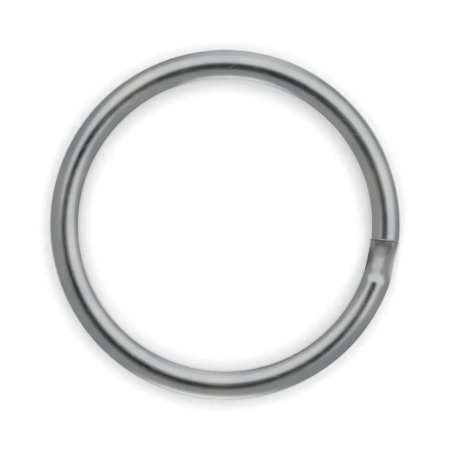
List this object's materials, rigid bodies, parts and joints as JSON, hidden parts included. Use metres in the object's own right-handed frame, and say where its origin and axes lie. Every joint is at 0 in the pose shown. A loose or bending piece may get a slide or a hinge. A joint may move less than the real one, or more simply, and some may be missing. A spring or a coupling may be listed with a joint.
{
  "type": "split key ring",
  "caption": "Flat double-coil split ring of rolled spring wire; either end prises open so keys can be slid on and held.",
  "frame": {"origin": "on the ring's axis, at the underside of the back turn", "axes": "+Z along the ring's axis, from the back turn to the front turn; +X to the right and +Y up when the ring is seen from the front, with the front free end 5.5 degrees below +X"},
  "size_m": [0.0254, 0.0254, 0.0023],
  "materials": {
    "wire": "polished"
  },
  "bodies": {
    "front_end": {"front_end": "wire"},
    "front_turn_01": {"front_turn_01": "wire"},
    "front_turn_02": {"front_turn_02": "wire"},
    "front_turn_03": {"front_turn_03": "wire"},
    "front_turn_04": {"front_turn_04": "wire"},
    "front_turn_05": {"front_turn_05": "wire"},
    "front_turn_06": {"front_turn_06": "wire"},
    "front_turn_07": {"front_turn_07": "wire"},
    "front_turn_08": {"front_turn_08": "wire"},
    "front_turn_09": {"front_turn_09": "wire"},
    "front_turn_10": {"front_turn_10": "wire"},
    "front_turn_11": {"front_turn_11": "wire"},
    "crossover": {"crossover": "wire"},
    "back_turn_01": {"back_turn_01": "wire"},
    "back_turn_02": {"back_turn_02": "wire"},
    "back_turn_03": {"back_turn_03": "wire"},
    "back_turn_04": {"back_turn_04": "wire"},
    "back_turn_05": {"back_turn_05": "wire"},
    "back_turn_06": {"back_turn_06": "wire"},
    "back_turn_07": {"back_turn_07": "wire"},
    "back_turn_08": {"back_turn_08": "wire"},
    "back_turn_09": {"back_turn_09": "wire"},
    "back_turn_10": {"back_turn_10": "wire"},
    "back_turn_11": {"back_turn_11": "wire"},
    "back_end": {"back_end": "wire"}
  },
  "joints": [
    {"name": "back_twist_12", "type": "hinge", "parent": "back_end", "child": "back_turn_11", "pos_m": [0.00745, -0.00893, 0.00057], "axis": [0.7679, 0.6406, 0], "range_deg": [0, 1.6], "stiffness_Nm_per_rad": 6.8},
    {"name": "back_twist_11", "type": "hinge", "parent": "back_turn_11", "child": "back_turn_10", "pos_m": [0.00225, -0.0114, 0.00057], "axis": [0.9811, 0.1937, 0], "range_deg": [0, 1.6], "stiffness_Nm_per_rad": 6.8},
    {"name": "back_twist_10", "type": "hinge", "parent": "back_turn_10", "child": "back_turn_09", "pos_m": [-0.0035, -0.01109, 0.00057], "axis": [0.9537, -0.3007, 0], "range_deg": [0, 1.6], "stiffness_Nm_per_rad": 6.8},
    {"name": "back_twist_09", "type": "hinge", "parent": "back_turn_09", "child": "back_turn_08", "pos_m": [-0.00839, -0.00805, 0.00057], "axis": [0.6926, -0.7214, 0], "range_deg": [0, 1.6], "stiffness_Nm_per_rad": 6.8},
    {"name": "back_twist_08", "type": "hinge", "parent": "back_turn_08", "child": "back_turn_07", "pos_m": [-0.01122, -0.00304, 0.00057], "axis": [0.2616, -0.9652, 0], "range_deg": [0, 1.6], "stiffness_Nm_per_rad": 6.8},
    {"name": "back_twist_07", "type": "hinge", "parent": "back_turn_07", "child": "back_turn_06", "pos_m": [-0.0113, 0.00271, 0.00057], "axis": [-0.2334, -0.9724, 0], "range_deg": [0, 1.6], "stiffness_Nm_per_rad": 6.8},
    {"name": "back_twist_06", "type": "hinge", "parent": "back_turn_06", "child": "back_turn_05", "pos_m": [-0.00862, 0.0078, 0.00057], "axis": [-0.6713, -0.7412, 0], "range_deg": [0, 1.6], "stiffness_Nm_per_rad": 6.8},
    {"name": "back_twist_05", "type": "hinge", "parent": "back_turn_05", "child": "back_turn_04", "pos_m": [-0.00382, 0.01098, 0.00057], "axis": [-0.9446, -0.3283, 0], "range_deg": [0, 1.6], "stiffness_Nm_per_rad": 6.8},
    {"name": "back_twist_04", "type": "hinge", "parent": "back_turn_04", "child": "back_turn_03", "pos_m": [0.00192, 0.01147, 0.00057], "axis": [-0.9863, 0.165, 0], "range_deg": [0, 1.6], "stiffness_Nm_per_rad": 6.8},
    {"name": "back_twist_03", "type": "hinge", "parent": "back_turn_03", "child": "back_turn_02", "pos_m": [0.00718, 0.00914, 0.00057], "axis": [-0.7862, 0.618, 0], "range_deg": [0, 1.6], "stiffness_Nm_per_rad": 6.8},
    {"name": "back_twist_02", "type": "hinge", "parent": "back_turn_02", "child": "back_turn_01", "pos_m": [0.01069, 0.00457, 0.00057], "axis": [-0.3934, 0.9194, 0], "range_deg": [0, 1.6], "stiffness_Nm_per_rad": 6.8},
    {"name": "back_twist_01", "type": "hinge", "parent": "back_turn_01", "child": "crossover", "pos_m": [0.01157, -0.00111, 0.00057], "axis": [0.0958, 0.9954, 0], "range_deg": [0, 1.6], "stiffness_Nm_per_rad": 6.8},
    {"name": "front_twist_12", "type": "hinge", "parent": "crossover", "child": "front_turn_11", "pos_m": [0.01082, -0.00426, 0.00178], "axis": [0.3665, 0.9304, 0], "range_deg": [0, 1.6], "stiffness_Nm_per_rad": 6.8},
    {"name": "front_twist_11", "type": "hinge", "parent": "front_turn_11", "child": "front_turn_10", "pos_m": [0.00745, -0.00893, 0.00178], "axis": [0.7679, 0.6406, 0], "range_deg": [0, 1.6], "stiffness_Nm_per_rad": 6.8},
    {"name": "front_twist_10", "type": "hinge", "parent": "front_turn_10", "child": "front_turn_09", "pos_m": [0.00225, -0.0114, 0.00178], "axis": [0.9811, 0.1937, 0], "range_deg": [0, 1.6], "stiffness_Nm_per_rad": 6.8},
    {"name": "front_twist_09", "type": "hinge", "parent": "front_turn_09", "child": "front_turn_08", "pos_m": [-0.0035, -0.01109, 0.00178], "axis": [0.9537, -0.3007, 0], "range_deg": [0, 1.6], "stiffness_Nm_per_rad": 6.8},
    {"name": "front_twist_08", "type": "hinge", "parent": "front_turn_08", "child": "front_turn_07", "pos_m": [-0.00839, -0.00805, 0.00178], "axis": [0.6926, -0.7214, 0], "range_deg": [0, 1.6], "stiffness_Nm_per_rad": 6.8},
    {"name": "front_twist_07", "type": "hinge", "parent": "front_turn_07", "child": "front_turn_06", "pos_m": [-0.01122, -0.00304, 0.00178], "axis": [0.2616, -0.9652, 0], "range_deg": [0, 1.6], "stiffness_Nm_per_rad": 6.8},
    {"name": "front_twist_06", "type": "hinge", "parent": "front_turn_06", "child": "front_turn_05", "pos_m": [-0.0113, 0.00271, 0.00178], "axis": [-0.2334, -0.9724, 0], "range_deg": [0, 1.6], "stiffness_Nm_per_rad": 6.8},
    {"name": "front_twist_05", "type": "hinge", "parent": "front_turn_05", "child": "front_turn_04", "pos_m": [-0.00862, 0.0078, 0.00178], "axis": [-0.6713, -0.7412, 0], "range_deg": [0, 1.6], "stiffness_Nm_per_rad": 6.8},
    {"name": "front_twist_04", "type": "hinge", "parent": "front_turn_04", "child": "front_turn_03", "pos_m": [-0.00382, 0.01098, 0.00178], "axis": [-0.9446, -0.3283, 0], "range_deg": [0, 1.6], "stiffness_Nm_per_rad": 6.8},
    {"name": "front_twist_03", "type": "hinge", "parent": "front_turn_03", "child": "front_turn_02", "pos_m": [0.00192, 0.01147, 0.00178], "axis": [-0.9863, 0.165, 0], "range_deg": [0, 1.6], "stiffness_Nm_per_rad": 6.8},
    {"name": "front_twist_02", "type": "hinge", "parent": "front_turn_02", "child": "front_turn_01", "pos_m": [0.00718, 0.00914, 0.00178], "axis": [-0.7862, 0.618, 0], "range_deg": [0, 1.6], "stiffness_Nm_per_rad": 6.8},
    {"name": "front_twist_01", "type": "hinge", "parent": "front_turn_01", "child": "front_end", "pos_m": [0.01069, 0.00457, 0.00178], "axis": [-0.3934, 0.9194, 0], "range_deg": [0, 1.6], "stiffness_Nm_per_rad": 6.8}
  ]
}
